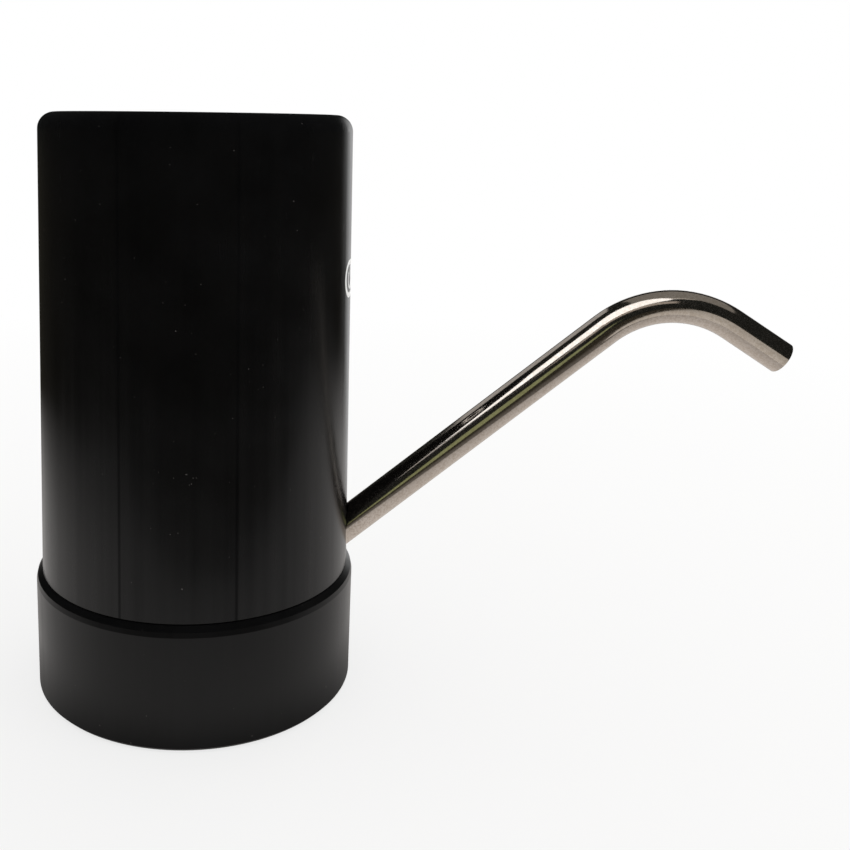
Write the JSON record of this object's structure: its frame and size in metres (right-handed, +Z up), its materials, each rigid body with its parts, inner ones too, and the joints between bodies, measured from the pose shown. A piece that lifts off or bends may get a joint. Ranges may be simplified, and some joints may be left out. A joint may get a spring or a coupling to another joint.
{
  "type": "bottled water pump",
  "caption": "Rechargeable pump for drinking-water bottles: black cylinder on a neck collar, bent stainless spout, front power key, motor and diaphragm pump inside.",
  "frame": {"origin": "centre of the collar's lower rim, on the axis of the bottle-neck socket", "axes": "+Z up along the housing, +X towards the spout, +Y to its left"},
  "size_m": [0.1838, 0.0778, 0.1385],
  "materials": {
    "housing_plastic": "satin-gloss black ABS with fine vertical flow streaks",
    "collar_plastic": "satin black ABS",
    "key_plastic": "satin black key",
    "white_trim": "white line around the key",
    "stainless": "polished stainless tube with fine grain",
    "silicone": "translucent silicone",
    "dark_rubber": "black seal rubber",
    "inner_plastic": "black moulded plastic",
    "pump_plastic": "ivory moulded plastic",
    "zinc_steel": "zinc plated steel",
    "magnet": "sintered ferrite",
    "copper": "bare and lacquered copper",
    "board_green": "printed circuit board with solder mask",
    "chip_black": "moulded component bodies",
    "lens_clear": "clear light pipe",
    "cell_sleeve": "shrink sleeve on the cell",
    "nickel": "nickel strip"
  },
  "bodies": {
    "base": {"collar": "collar_plastic", "neck_gasket": "silicone"},
    "lift_ring": {"seat_ring": "dark_rubber"},
    "housing": {"housing_shell": "housing_plastic", "key_trim_ring": "white_trim", "key_switch": "chip_black", "switch_board": "board_green", "bottom_cover": "inner_plastic", "cover_screws": "zinc_steel", "inner_frame": "inner_plastic", "frame_screws": "zinc_steel", "motor_can": "zinc_steel", "motor_end_cap": "pump_plastic", "motor_terminals": "copper", "motor_brushes": "copper", "motor_bearings": "copper", "motor_magnets": "magnet", "pump_case": "pump_plastic", "motor_screws": "zinc_steel", "diaphragm": "dark_rubber", "valve_plate": "pump_plastic", "inlet_valves": "dark_rubber", "outlet_valve": "dark_rubber", "pump_cover": "pump_plastic", "pump_screws": "zinc_steel", "suction_tube": "silicone", "delivery_tube": "silicone", "tube_clips": "zinc_steel", "spout_elbow": "inner_plastic", "elbow_screws": "zinc_steel", "main_board": "board_green", "board_parts": "chip_black", "charging_port": "zinc_steel", "charge_lamp": "lens_clear", "lamp_lens": "lens_clear", "battery_cell": "cell_sleeve", "cell_tabs": "nickel"},
    "key": {"power_key": "key_plastic", "switch_plunger": "chip_black"},
    "rotor": {"motor_shaft": "zinc_steel", "armature_core": "zinc_steel", "armature_windings": "copper", "commutator": "copper", "eccentric": "pump_plastic", "tilt_pin": "zinc_steel"},
    "wobble": {"wobble_plate": "pump_plastic"},
    "spout_seal": {"spout_oring": "dark_rubber"},
    "spout": {"spout": "stainless"}
  },
  "joints": [
    {"name": "housing_lift", "type": "slide", "parent": "base", "child": "lift_ring", "axis": [0, 0, 1], "range_m": [0, 0.03]},
    {"name": "housing_turn", "type": "hinge", "parent": "lift_ring", "child": "housing", "pos_m": [0, 0, 0], "axis": [0, 0, 1], "continuous": true},
    {"name": "key_press", "type": "slide", "parent": "housing", "child": "key", "axis": [-1, 0, 0], "range_m": [0, 0.0006], "stiffness_N_per_m": 2000},
    {"name": "rotor_spin", "type": "hinge", "parent": "housing", "child": "rotor", "pos_m": [0, 0.018, 0.05], "axis": [0, 0, 1], "continuous": true},
    {"name": "wobble_turn", "type": "hinge", "parent": "rotor", "child": "wobble", "pos_m": [0, 0.018, 0.0811], "axis": [0.1045, 0, 0.9945], "continuous": true, "deforming": ["diaphragm"]},
    {"name": "spout_swivel", "type": "hinge", "parent": "housing", "child": "spout_seal", "pos_m": [0.0375, 0, 0.0372], "axis": [0.7782, 0, 0.628], "continuous": true},
    {"name": "spout_pull", "type": "slide", "parent": "spout_seal", "child": "spout", "axis": [0.7782, 0, 0.628], "range_m": [0, 0.014]}
  ],
  "couplings": [
    {"joint": "wobble_turn", "follows": "rotor_spin", "ratio": -1}
  ]
}
